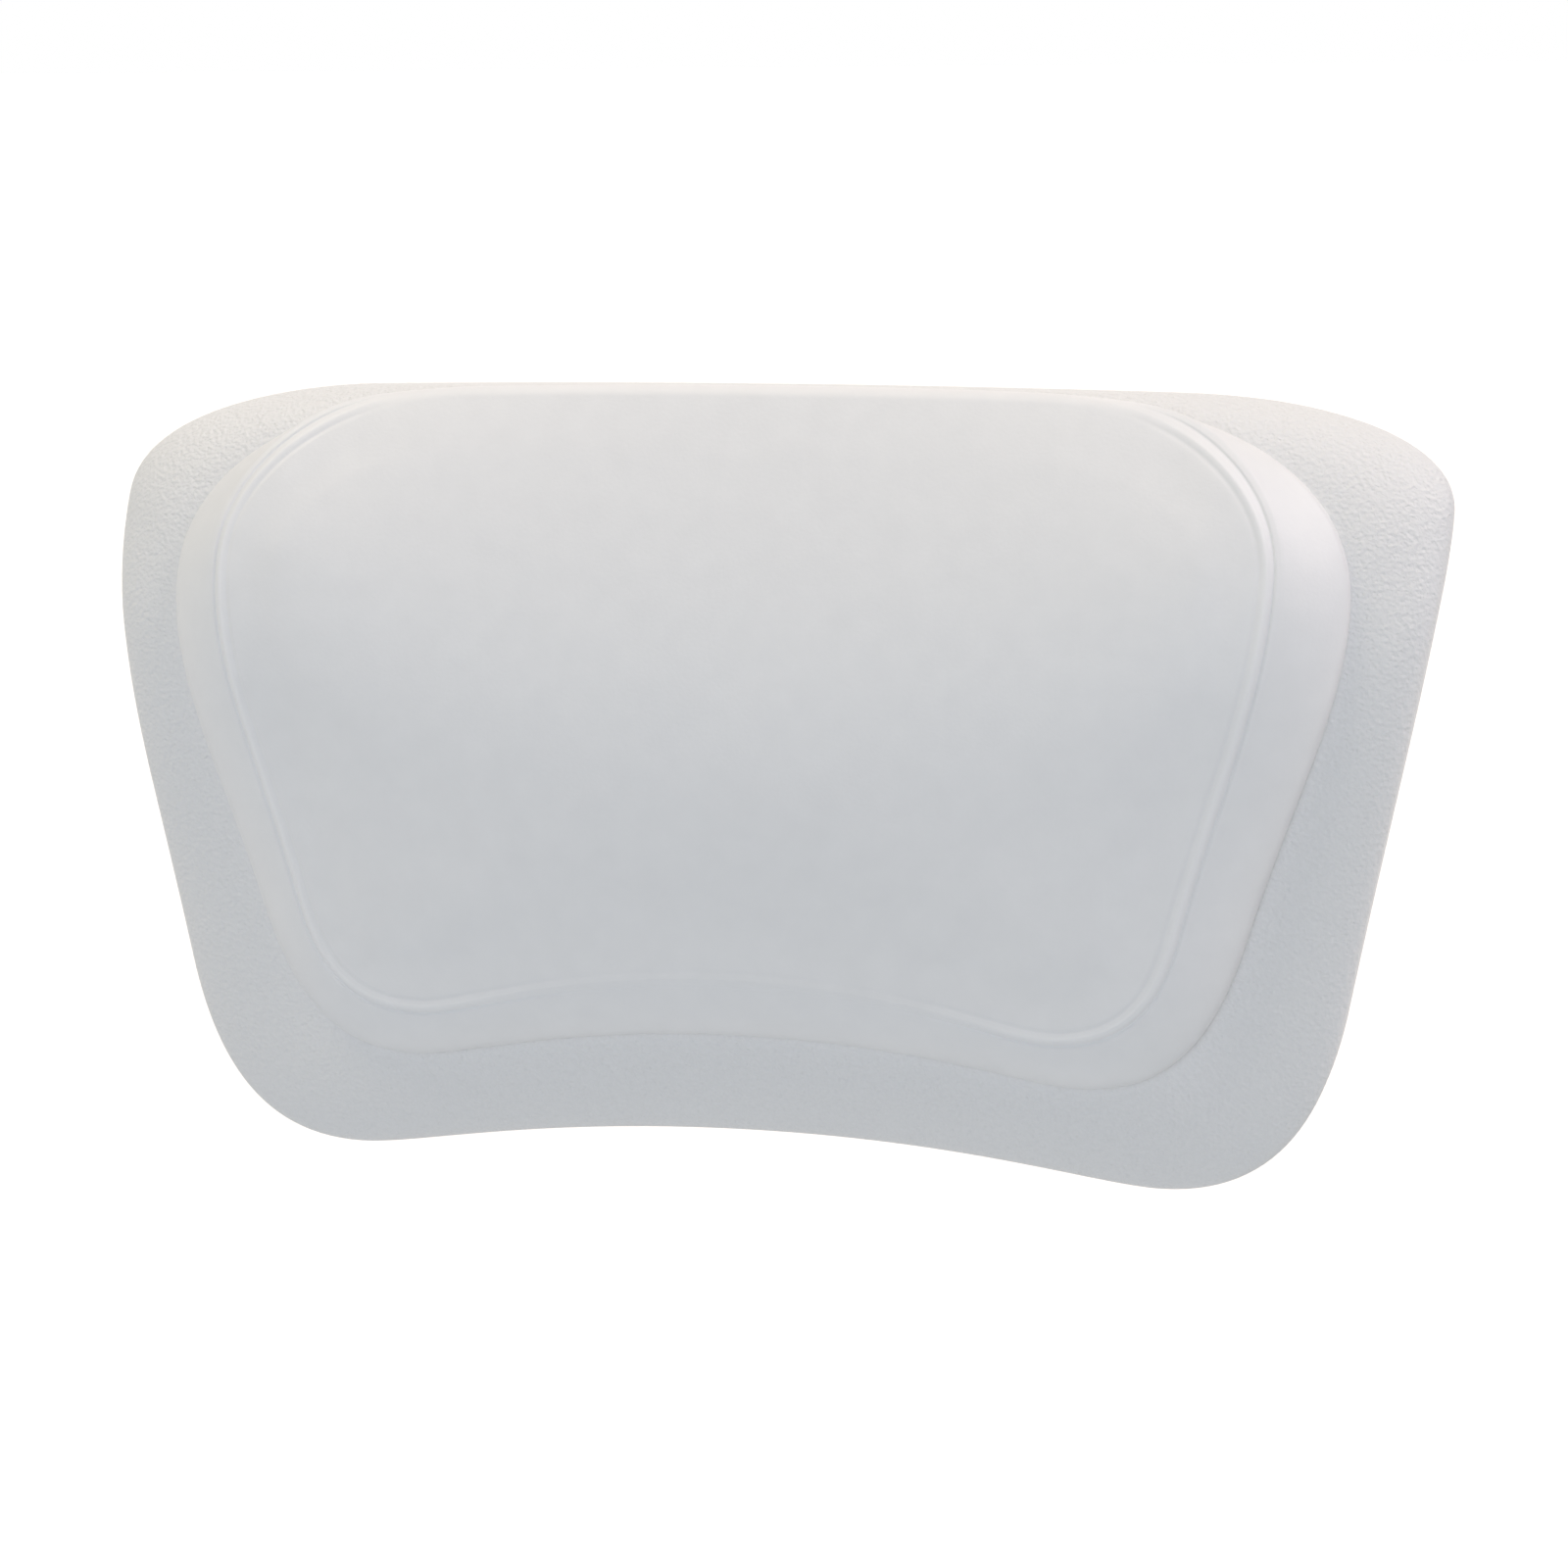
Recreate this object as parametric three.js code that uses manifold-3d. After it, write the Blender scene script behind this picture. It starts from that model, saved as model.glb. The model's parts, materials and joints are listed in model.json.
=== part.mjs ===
// Bath pillow: a moulded foam headrest with a raised head pad, held to the tub wall by four suction cups.
// Millimetres. +X is to the right as the pad is seen, +Z is up, and the pad faces -Y.
// The tub wall is the plane y = 0. The origin lies on it, behind the middle of the pillow.
// Depth is counted from the pillow's flat back towards the head, so the wall is at a depth of -standOff.

import * as THREE from "three";
import { mergeGeometries, mergeVertices } from "three/addons/utils/BufferGeometryUtils.js";
import Module from "manifold-3d";

// Gap between pieces that touch on the real pillow, and the distance within which points are one
const gap = 0.3;
const weld = 0.001;

// Ridge: the widest line of the pillow, seen from the front
const halfWidth = 152;
const widestHeight = 58.8;
const topHeight = 83.9;
const topBow = 0.8;
const topStraight = 88;
const lowerHalfWidth = 133.2;
const lowerHeight = -46.5;
const footHalfWidth = 93;
const footHeight = -87.6;
const neckArch = 7.9;

// Rim: the grained border from the ridge in to the edge of the head pad
const rimAtTop = 0.4;
const rimAtTopCorner = 28;
const rimAtSide = 18.7;
const rimAtLowerCorner = 20.2;
const rimAtFoot = 23.2;
const rimFootInset = 16.7;
const rimWidestDrop = 17.3;
const rimLowerLift = 17.5;
const rimRise = 8;
const rimRiseAtTop = 8;

// Band: the smooth border from the edge of the head pad in to its crease
const bandAtTop = 2.6;
const bandTopSpread = 6;
const bandAtSide = 16.1;
const bandAtLowerCorner = 16;
const bandAtFoot = 13;
const bandFootInset = 4.5;
const bandWidestLift = 6.3;
const bandArch = 1.7;
const bandRise = 11.6;
const bandRiseAtTop = 9.8;

// Crease between the band and the panel of the head pad
const creaseWidth = 2.4;
const creaseDepth = 1;

// How full the rounded corners are: 0.55 is an ellipse, and more is squarer
const ridgeFullness = 0.6;
const padFullness = 0.61;
const creaseFullness = 0.56;

// How square the rim's roll is in section: 2 is an ellipse, and more is squarer
const rimSquareness = 2.5;

// How far the outlines' curves keep their direction at the ends of each stretch, as shares of the stretch
const pull = { widest: 0.3, lower: 0.4, corner: 0.6, foot: 0.15, arch: 0.55 };
const sideTurn = 1.08;

// Depths of the front, which leans back from leanStart up to its top
const ridgeDepth = 33;
const ridgeDepthAtTop = 10;
const leanStart = -5;
const panelCrown = 5;
const seatCrown = 8;

// Flat back: how far its edge lies inside the ridge, and its own corners
const backEdgeRound = 20;
const backCornerWidth = 42;
const backCornerHeight = 25;
const backLowerLift = 8;
const backFootInset = 9;

// Skins, and the plate moulded into the foam
const bodySkin = 2;
const padSkin = 1.5;
const plateThickness = 3;
const plateMargin = 10;

// Suction cups
const standOff = 10;
const cupRadius = 25;
const cupWall = 2.4;
const lipWidth = 2.8;
const skirtFlare = 1.25;
const hubRadius = 8;
const neckRadius = 4.3;
const headRadius = 6.2;
const headLength = 7;
const headRim = 2.3;
const tabLength = 7;
const tabWidth = 10;
const tabThickness = 1.8;

// Dishes in the back, which the cups flatten into, and how far each lies inside the back's edge
const dishDepth = 5;
const dishMargin = 3;
const upperDishFromTop = 4.6;
const upperDishFromSide = 17;
const lowerDishFromFoot = 7.6;
const lowerDishFromSide = 15;

// Sockets that hold the heads of the cups
const barrelRadius = 9;
const flangeRadius = 12.5;
const flangeThickness = 1.6;
const mouthLip = 3;
const headPlay = 1.5;
const headClearance = 0.9;
const socketWall = 2;
const collarProud = 1.2;
const collarLength = 3;

// Facets of the round pieces and of the rings, and where the rings lie: shares of the way out
// from the middle, and angles round the rim's roll and round the back edge
const roundFacets = 24;
const ringSteps = { top: 4, corner: 7, side: 6, foot: 6, arch: 5 };
const bodyOutside = { seatShares: [0.4, 0.75], rimAngles: [68, 45, 22], backAngles: [62, 36, 14, 0] };
const bodyInside = { seatShares: [0.6], rimAngles: [45], backAngles: [55, 25, 0] };
const panelShares = [0.3, 0.55, 0.78, 0.92];
const panelSharesInside = [0.4, 0.75];
const cupShares = [0, 0.25, 0.5, 0.75, 1];

// Section of the band: shares of the way from the crease out to the pad's edge, and of its rise there
const bandSection = [[0.12, 0.94], [0.4, 0.78], [0.7, 0.57], [0.9, 0.36], [0.985, 0.2]];
const bandSectionInside = [[0.12, 0.94], [0.7, 0.57], [0.985, 0.2]];

const wasm = await Module();
wasm.setup();

// Depths through the back, from the wall inwards
const dishFront = dishDepth + bodySkin;
const plateRear = dishFront + gap;
const plateFront = plateRear + plateThickness;
const flangeFront = dishDepth - gap;
const flangeRear = flangeFront - flangeThickness;
const cavityRear = flangeRear + mouthLip;
const cavityFront = cavityRear + gap + headLength + headPlay;
const socketFront = cavityFront + socketWall;
const collarRear = plateFront + gap;
const hubFront = flangeRear - gap;
const dishRadius = cupRadius + dishMargin;
const dishFloorRadius = flangeRadius + dishMargin;

// Places of the cups on the back
const upperCup = {
  x: halfWidth - backEdgeRound - upperDishFromSide - dishRadius,
  z: topHeight - backEdgeRound - upperDishFromTop - dishRadius,
};
const lowerCup = {
  x: lowerHalfWidth - backEdgeRound - lowerDishFromSide - dishRadius,
  z: footHeight + backEdgeRound + lowerDishFromFoot + dishRadius,
};
const cups = {
  upper_left: [-upperCup.x, upperCup.z],
  upper_right: [upperCup.x, upperCup.z],
  lower_left: [-lowerCup.x, lowerCup.z],
  lower_right: [lowerCup.x, lowerCup.z],
};
const cupPlaces = Object.values(cups);

// The three lines that shape the front, each set in from the one before
const ridgeLine = {
  top: topHeight,
  bow: topBow,
  straight: topStraight,
  side: [halfWidth, widestHeight],
  lower: [lowerHalfWidth, lowerHeight],
  foot: [footHalfWidth, footHeight],
  arch: neckArch,
  fullness: ridgeFullness,
};
const padLine = {
  top: ridgeLine.top - rimAtTop,
  bow: topBow,
  straight: ridgeLine.straight - rimAtTopCorner,
  side: [ridgeLine.side[0] - rimAtSide, ridgeLine.side[1] - rimWidestDrop],
  lower: [ridgeLine.lower[0] - rimAtLowerCorner, ridgeLine.lower[1] + rimLowerLift],
  foot: [ridgeLine.foot[0] - rimFootInset, ridgeLine.foot[1] + rimAtFoot],
  arch: neckArch,
  fullness: padFullness,
};
const creaseLine = {
  top: padLine.top - bandAtTop,
  bow: topBow,
  straight: padLine.straight + bandTopSpread,
  side: [padLine.side[0] - bandAtSide, padLine.side[1] + bandWidestLift],
  lower: [padLine.lower[0] - bandAtLowerCorner, padLine.lower[1]],
  foot: [padLine.foot[0] - bandFootInset, padLine.foot[1] + bandAtFoot],
  arch: neckArch + bandArch,
  fullness: creaseFullness,
};

// Edge of the flat back.
const backLine = {
  top: ridgeLine.top - backEdgeRound,
  bow: topBow,
  straight: ridgeLine.side[0] - backEdgeRound - backCornerWidth,
  side: [ridgeLine.side[0] - backEdgeRound, ridgeLine.top - backEdgeRound - backCornerHeight],
  lower: [ridgeLine.lower[0] - backEdgeRound, ridgeLine.lower[1] + backLowerLift],
  foot: [ridgeLine.foot[0] - backFootInset, ridgeLine.foot[1] + backEdgeRound],
  arch: neckArch,
  fullness: ridgeFullness,
};

// Ring of points on an outline, clockwise from the top as seen from the front.
function ringOf(line) {
  const [sideX, sideZ] = line.side;
  const [lowX, lowZ] = line.lower;
  const [footX, footZ] = line.foot;
  const cornerX = sideX - line.straight;
  const cornerZ = line.top - sideZ;
  const fall = sideZ - lowZ;
  const lean = (sideTurn * (sideX - lowX)) / fall;
  const footFall = pull.corner * (lowZ - footZ);
  const v = (x, z) => new THREE.Vector2(x, z);
  const bezier = (...points) => new THREE.CubicBezierCurve(...points);
  const stretches = [
    [
      new THREE.QuadraticBezierCurve(
        v(0, line.top + line.bow),
        v(line.straight / 2, line.top + line.bow),
        v(line.straight, line.top),
      ),
      ringSteps.top,
    ],
    [
      bezier(
        v(line.straight, line.top),
        v(line.straight + line.fullness * cornerX, line.top),
        v(sideX, sideZ + line.fullness * cornerZ),
        v(sideX, sideZ),
      ),
      ringSteps.corner,
    ],
    [
      bezier(
        v(sideX, sideZ),
        v(sideX, sideZ - pull.widest * fall),
        v(lowX + lean * pull.lower * fall, lowZ + pull.lower * fall),
        v(lowX, lowZ),
      ),
      ringSteps.side,
    ],
    [
      bezier(
        v(lowX, lowZ),
        v(lowX - lean * footFall, lowZ - footFall),
        v(footX + pull.corner * (lowX - footX), footZ),
        v(footX, footZ),
      ),
      ringSteps.foot,
    ],
    [
      bezier(
        v(footX, footZ),
        v(footX - pull.foot * footX, footZ),
        v(pull.arch * footX, footZ + line.arch),
        v(0, footZ + line.arch),
      ),
      ringSteps.arch,
    ],
  ];
  const right = stretches.flatMap(([curve, steps]) => curve.getPoints(steps).slice(0, -1));
  const bottom = v(0, footZ + line.arch);
  const left = right.slice(1).reverse().map((p) => v(-p.x, p.y));
  return [...right, bottom, ...left];
}

// The ring moved inwards in its own plane.
function inset(ring, by) {
  return ring.map((p, i) => {
    const before = ring.at(i - 1);
    const after = ring[(i + 1) % ring.length];
    const along = after.clone().sub(before).normalize();
    return new THREE.Vector2(p.x + along.y * by, p.y - along.x * by);
  });
}

const mix = (from, to, share) => from.map((p, i) => p.clone().lerp(to[i], share));

const ridge = ringOf(ridgeLine);
const padEdge = ringOf(padLine);
const crease = ringOf(creaseLine);
const backEdge = ringOf(backLine);
const middle = new THREE.Vector2(0, (creaseLine.top + creaseLine.foot[1] + creaseLine.arch) / 2);
const middleRing = ridge.map(() => middle);

// The front leans back above leanStart. A depth goes from its value in the middle to its value at the top.
function leaning(height, inMiddle, atTop) {
  const share = Math.max(0, (height - leanStart) / (topHeight - leanStart));
  return inMiddle + (atTop - inMiddle) * share * share;
}
const ridgeAt = (z) => leaning(z, ridgeDepth, ridgeDepthAtTop);
const padEdgeAt = (z) => ridgeAt(z) + leaning(z, rimRise, rimRiseAtTop);
const creaseAt = (z) => padEdgeAt(z) + leaning(z, bandRise, bandRiseAtTop);
const seatAt = (z, share) => padEdgeAt(z) + seatCrown * (1 - share * share);
const panelAt = (z, share) => creaseAt(z) + panelCrown * (1 - share * share);

// A ring of points in space: depth gives each point's depth from its height and its place in the ring.
function station(ring, depth) {
  return ring.map((p, i) => new THREE.Vector3(p.x, -standOff - depth(p.y, i), p.y));
}
const pole = (depth) => [new THREE.Vector3(middle.x, -standOff - depth, middle.y)];

const surface = (points, faces) => new THREE.BufferGeometry().setFromPoints(points).setIndex(faces);

// Surface through stations that run from a pole in front, over the outside, to a pole behind. It is closed if
// both poles are among them.
// Each four-sided patch is split the same way whichever way the stations run, and the left mirrors the right,
// so two surfaces a gap apart keep that gap all over.
function loft(stations) {
  const first = [];
  let count = 0;
  for (const s of stations) {
    first.push(count);
    count += s.length;
  }
  const reach = stations.map((s) => {
    const total = s.reduce((sum, p) => sum + Math.hypot(p.x - middle.x, p.z - middle.y), 0);
    return total / s.length;
  });
  const faces = [];
  for (let k = 0; k + 1 < stations.length; k++) {
    const steps = Math.max(stations[k].length, stations[k + 1].length);
    const near = (i) => first[k] + (i % stations[k].length);
    const far = (i) => first[k + 1] + (i % stations[k + 1].length);
    const outward = reach[k + 1] >= reach[k];
    for (let i = 0; i < steps; i++) {
      const onRight = i < steps / 2;
      if (stations[k].length === 1) faces.push(near(i), far(i + 1), far(i));
      else if (stations[k + 1].length === 1) faces.push(near(i), near(i + 1), far(i));
      else if (outward === onRight) faces.push(near(i), far(i + 1), far(i), near(i), near(i + 1), far(i + 1));
      else faces.push(near(i), near(i + 1), far(i), near(i + 1), far(i + 1), far(i));
    }
  }
  return surface(stations.flat(), faces);
}

// Round hole of a cup's fitting, as a ring in the same order as the outlines.
function circle(radius, [x, z]) {
  return Array.from({ length: roundFacets }, (_, i) => {
    const turn = (i / roundFacets) * 2 * Math.PI;
    return new THREE.Vector2(x + radius * Math.sin(turn), z + radius * Math.cos(turn));
  });
}

// Flat face inside a ring, with a round hole at each cup. It faces the head or else the wall.
function flatFace(ring, holeRadius, depth, facesHead) {
  const holes = cupPlaces.map((place) => circle(holeRadius, place));
  const points = [ring, ...holes].flatMap((outline) => station(outline, () => depth));
  const triangles = THREE.ShapeUtils.triangulateShape(ring, holes);
  const faces = triangles.flatMap(([a, b, c]) => (facesHead ? [a, b, c] : [a, c, b]));
  return surface(points, faces);
}

// Wall of a round hole at each cup, through pairs of radius and depth from the wall side to the head side.
// A radius of 0 closes the hole.
function holeWalls(section) {
  return cupPlaces.map(([x, z]) => {
    const ringAt = (radius) => (radius > 0 ? circle(radius, [x, z]) : [new THREE.Vector2(x, z)]);
    return loft(section.map(([radius, depth]) => station(ringAt(radius), () => depth)));
  });
}

// One closed surface from patches whose edges meet.
const joined = (patches) => mergeVertices(mergeGeometries(patches), weld);

// A geometry as a solid that can be joined and cut, and back again.
function solidOf(geometry) {
  const bare = new THREE.BufferGeometry();
  bare.setAttribute("position", geometry.getAttribute("position"));
  bare.setIndex(geometry.getIndex());
  const merged = mergeVertices(bare, weld);
  const vertProperties = merged.getAttribute("position").array;
  const triVerts = new Uint32Array(merged.getIndex().array);
  return new wasm.Manifold(new wasm.Mesh({ numProp: 3, vertProperties, triVerts }));
}
function geometryOf(solid) {
  const mesh = solid.getMesh();
  const geometry = new THREE.BufferGeometry();
  geometry.setAttribute("position", new THREE.BufferAttribute(mesh.vertProperties, 3));
  geometry.setIndex(new THREE.BufferAttribute(mesh.triVerts, 1));
  return geometry;
}

// A turned shape about a cup's axis. Its profile lists radius and depth, from the wall side to the head side.
function turned(profile, [x, z] = [0, 0]) {
  const points = profile.map(([radius, depth]) => new THREE.Vector2(radius, -standOff - depth));
  return new THREE.LatheGeometry(points.reverse(), roundFacets).translate(x, 0, z);
}

const radians = THREE.MathUtils.degToRad;

// Stations over the pillow's body, from the middle of its front to the edge of its flat back,
// at a depth under its surface.
function bodyStations(under, { seatShares, rimAngles, backAngles }) {
  const edge = inset(padEdge, under);
  const wide = inset(ridge, under);
  const seat = (share) =>
    station(mix(middleRing, edge, share), (z) => seatAt(z, share) - under);
  const rim = (degrees) => {
    const out = Math.max(0, Math.cos(radians(degrees))) ** (2 / rimSquareness);
    const up = Math.sin(radians(degrees)) ** (2 / rimSquareness);
    return station(mix(edge, wide, out), (z, i) => {
      const low = ridgeAt(ridge[i].y);
      return low + (padEdgeAt(padEdge[i].y) - under - low) * up;
    });
  };
  const rear = inset(backEdge, under - Math.min(under, bodySkin));
  const back = (degrees) => {
    const inwards = 1 - Math.sin(radians(degrees));
    const down = 1 - Math.cos(radians(degrees));
    return station(mix(wide, rear, inwards), (z, i) => under + (ridgeAt(ridge[i].y) - under) * down);
  };
  return [
    pole(seatAt(middle.y, 0) - under),
    ...seatShares.map(seat),
    ...[90, ...rimAngles, 0].map(rim),
    ...backAngles.map(back),
  ];
}

// Grained skin of the body: one moulded shell over the front, the sides and the rounded back edge.
function bodySkinShape() {
  const outside = bodyStations(0, bodyOutside);
  const inside = bodyStations(bodySkin, bodyInside);
  return loft([...outside, ...inside.reverse()]);
}

// Flat back skin with a dish for each cup, and the hole that the cup's socket passes through.
function backSkinShape() {
  const ring = inset(backEdge, gap);
  return joined([
    flatFace(ring, dishRadius, bodySkin, true),
    loft([station(ring, () => bodySkin), station(ring, () => 0)]),
    flatFace(ring, dishRadius, 0, false),
    ...holeWalls([
      [dishRadius, 0],
      [dishFloorRadius, dishDepth],
      [barrelRadius + gap, dishDepth],
      [barrelRadius + gap, dishFront],
      [dishFloorRadius, dishFront],
      [dishRadius, bodySkin],
    ]),
  ]);
}

// Stiff plate inside the foam that ties the four sockets together.
function carrierPlateShape() {
  const ring = inset(backEdge, plateMargin);
  const hole = barrelRadius + gap;
  return joined([
    flatFace(ring, hole, plateFront, true),
    loft([station(ring, () => plateFront), station(ring, () => plateRear)]),
    flatFace(ring, hole, plateRear, false),
    ...holeWalls([[hole, plateRear], [hole, plateFront]]),
  ]);
}

// Foam that fills the body, moulded round the plate, the sockets and the dishes.
function bodyFoamShape() {
  const under = bodySkin + gap;
  const outside = bodyStations(under, bodyInside);
  const backRing = outside.at(-1).map((p) => new THREE.Vector2(p.x, p.z));
  const plateRing = inset(backEdge, plateMargin - gap);
  const pocketRear = plateRear - gap;
  const pocketFront = plateFront + gap;
  const dishSlope = (dishRadius - dishFloorRadius) / dishDepth;
  const dishBottom = dishRadius - (pocketRear - under) * dishSlope;
  const socketRoom = barrelRadius + collarProud + gap;
  const socketEnd = socketFront + gap;
  return joined([
    loft(outside),
    flatFace(backRing, dishRadius, under, false),
    ...holeWalls([[dishRadius, under], [dishBottom, pocketRear]]),
    flatFace(plateRing, dishBottom, pocketRear, true),
    loft([station(plateRing, () => pocketRear), station(plateRing, () => pocketFront)]),
    flatFace(plateRing, socketRoom, pocketFront, false),
    ...holeWalls([[socketRoom, pocketFront], [socketRoom, socketEnd], [0, socketEnd]]),
  ]);
}

// Stations over the head pad, from the middle of its panel to its outer edge, at a depth under its surface.
function padStations(under, shares, withCrease) {
  const line = inset(crease, under);
  const edge = inset(padEdge, under);
  const panel = (share) =>
    station(mix(middleRing, line, share), (z) => panelAt(z, share) - under);
  const border = ([share, height]) =>
    station(mix(line, edge, share), (z, i) => {
      const low = padEdgeAt(padEdge[i].y);
      return low + (creaseAt(crease[i].y) - low - under) * height;
    });
  const groove = [
    station(inset(line, creaseWidth), (z) => creaseAt(z) + creaseDepth / 2),
    station(line, (z) => creaseAt(z) - creaseDepth),
  ];
  const rest = station(edge, (z, i) => {
    const share = edge[i].distanceTo(middle) / padEdge[i].distanceTo(middle);
    return seatAt(z, share) + gap;
  });
  return [
    pole(panelAt(middle.y, 0) - under),
    ...shares.map(panel),
    ...(withCrease ? groove : [panel(1)]),
    ...(withCrease ? bandSection : bandSectionInside).map(border),
    rest,
  ];
}

// Smooth skin of the head pad, with the crease that runs round its panel.
function padSkinShape() {
  const outside = padStations(0, panelShares, true);
  const inside = padStations(padSkin, panelSharesInside, false);
  return loft([...outside, ...inside.reverse()]);
}

// Softer foam between the pad's skin and the body.
function padFoamShape() {
  const under = padSkin + gap;
  const outside = padStations(under, panelSharesInside, false);
  const seat = panelSharesInside.toReversed().map((share) =>
    station(mix(middleRing, padEdge, share), (z) => seatAt(z, share) + gap),
  );
  return loft([...outside, ...seat, pole(seatAt(middle.y, 0) + gap)]);
}

// Socket: a flanged bush pressed through the back, with a collar that snaps in front of the plate.
function socketShape(place) {
  const profile = [
    [0, cavityFront],
    [headRadius + headClearance, cavityFront],
    [headRadius + headClearance, cavityRear],
    [neckRadius + gap, cavityRear],
    [neckRadius + gap, flangeRear],
    [flangeRadius, flangeRear],
    [flangeRadius, flangeFront],
    [barrelRadius, flangeFront],
    [barrelRadius, collarRear],
    [barrelRadius + collarProud, collarRear],
    [barrelRadius, collarRear + collarLength],
    [barrelRadius, socketFront],
    [0, socketFront],
  ];
  return turned(profile, place);
}

// Suction cup: one soft moulding with a hollow skirt, a neck and a mushroom head, and a tab to peel it off.
function suctionCupShape([x, z]) {
  const lip = -standOff;
  const hollow = hubFront - cupWall - lip;
  const inner = cupRadius - lipWidth;
  const arch = (share) => [inner * share, lip + hollow * Math.cos((share * Math.PI) / 2)];
  const skirt = (share) => [
    hubRadius + (cupRadius - hubRadius) * share,
    lip + cupWall / 2 + (hubFront - lip - cupWall / 2) * (1 - share) ** skirtFlare,
  ];
  const headRear = cavityRear + gap;
  const profile = [
    ...cupShares.map(arch),
    [cupRadius, lip],
    ...cupShares.toReversed().map(skirt),
    [neckRadius, hubFront],
    [neckRadius, headRear],
    [headRadius, headRear],
    [headRadius, headRear + headRim],
    [neckRadius, headRear + headLength],
    [0, headRear + headLength],
  ];
  const reach = lipWidth / 2 + tabLength;
  const tab = new THREE.BoxGeometry(tabWidth, tabThickness, reach);
  tab.translate(0, -gap - tabThickness / 2, -cupRadius + lipWidth / 2 - reach / 2);
  const cup = solidOf(turned(profile)).add(solidOf(tab));
  return geometryOf(cup).translate(x, 0, z);
}

const grainedSkin = new THREE.MeshStandardMaterial({ color: 0xd9dbde, roughness: 0.55, metalness: 0 });
const smoothSkin = new THREE.MeshStandardMaterial({ color: 0xdfe0e2, roughness: 0.45, metalness: 0 });
const foam = new THREE.MeshStandardMaterial({ color: 0xe8e4d6, roughness: 0.95, metalness: 0 });
const softFoam = new THREE.MeshStandardMaterial({ color: 0xefe9dc, roughness: 0.95, metalness: 0 });
const stiffPlastic = new THREE.MeshStandardMaterial({ color: 0xcfd2d4, roughness: 0.4, metalness: 0 });
const clearVinyl = new THREE.MeshStandardMaterial({ color: 0xdde6ea, roughness: 0.2, metalness: 0 });

const pillow = new THREE.Group();
function add(name, geometry, material) {
  geometry.computeVertexNormals();
  const mesh = new THREE.Mesh(geometry, material);
  mesh.name = name;
  pillow.add(mesh);
}

add("body_skin", bodySkinShape(), grainedSkin);
add("body_foam", bodyFoamShape(), foam);
add("back_skin", backSkinShape(), grainedSkin);
add("carrier_plate", carrierPlateShape(), stiffPlastic);
add("pad_skin", padSkinShape(), smoothSkin);
add("pad_foam", padFoamShape(), softFoam);
for (const [where, place] of Object.entries(cups)) {
  add("socket_" + where, socketShape(place), stiffPlastic);
  add("suction_cup_" + where, suctionCupShape(place), clearVinyl);
}

export default pillow;
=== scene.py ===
import json
import math
from bisect import bisect_right

import bmesh
import bpy
from mathutils import Matrix, Vector, noise
from mathutils.geometry import interpolate_bezier


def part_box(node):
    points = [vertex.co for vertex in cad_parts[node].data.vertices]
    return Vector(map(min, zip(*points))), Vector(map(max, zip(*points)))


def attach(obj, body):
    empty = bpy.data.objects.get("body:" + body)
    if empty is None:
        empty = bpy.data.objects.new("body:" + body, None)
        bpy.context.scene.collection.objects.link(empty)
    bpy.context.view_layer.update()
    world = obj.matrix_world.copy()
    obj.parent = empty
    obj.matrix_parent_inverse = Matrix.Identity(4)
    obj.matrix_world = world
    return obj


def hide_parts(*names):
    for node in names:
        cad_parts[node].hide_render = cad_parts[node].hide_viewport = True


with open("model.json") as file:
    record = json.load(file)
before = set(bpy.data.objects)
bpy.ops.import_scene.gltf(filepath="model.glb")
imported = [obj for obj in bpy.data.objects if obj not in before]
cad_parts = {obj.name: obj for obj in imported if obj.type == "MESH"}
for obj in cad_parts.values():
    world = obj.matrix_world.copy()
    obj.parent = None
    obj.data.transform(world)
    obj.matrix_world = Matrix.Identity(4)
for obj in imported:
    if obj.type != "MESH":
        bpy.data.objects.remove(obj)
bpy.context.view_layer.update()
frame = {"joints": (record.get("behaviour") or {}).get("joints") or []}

# View of the pillow
# A long lens stands a metre off, a little to the right of the pillow and above it. The picture is tipped
# by less than a degree, as if the pillow hung slightly askew.
mm = 0.001
lens_mm = 104.85
distance = 1000 * mm
aim = Vector((9.35, -46, -0.57)) * mm
azimuth = math.radians(16.23)
elevation = math.radians(10.02)
roll = math.radians(-0.8)

camera = bpy.data.objects.new("camera", bpy.data.cameras.new("camera"))
camera.data.lens = lens_mm
back = Vector((
    math.sin(azimuth) * math.cos(elevation),
    -math.cos(azimuth) * math.cos(elevation),
    math.sin(elevation),
))
level = Vector((math.cos(azimuth), math.sin(azimuth), 0))
right = math.cos(roll) * level + math.sin(roll) * back.cross(level)
turn = Matrix((right, back.cross(right), back)).transposed()
camera.matrix_world = Matrix.Translation(aim + distance * back) @ turn.to_4x4()
bpy.context.scene.collection.objects.link(camera)
bpy.context.scene.camera = camera

# Moulded body
# A shell of grained polyurethane skin, 2 mm thick, that wraps the whole pillow. It runs from under the head
# pad, over the rolled rim and round the back edge, and the foam is cast into it.
body_low, body_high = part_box("body_skin")
weld = 0.002 * mm
skin_wall = 2 * mm
stand_off = -body_high.y
half_width = body_high.x
top_bow = 0.8 * mm
top_height = body_high.z - top_bow
foot_height = body_low.z
neck_arch = 7.9 * mm
middle_height = 19.5 * mm
ridge_depth = 33 * mm
ridge_depth_at_top = 10 * mm
lean_start = -5 * mm
rim_rise = 6.5 * mm
rim_squareness = 2.1
corner_squareness = 1.4
upper_heights = (5 * mm, 45 * mm)
corner_sides = (85 * mm, 120 * mm)
corner_drop = 6.5 * mm
corner_drop_heights = (30 * mm, 70 * mm)
corner_ease = 2.5 * mm
corner_ease_heights = (10 * mm, 45 * mm)
channel_depth = 1.5 * mm
channel_width = 0.42
channel_facing = (0.35, 0.9)
seat_crown = 8 * mm
back_round = 20 * mm

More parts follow.
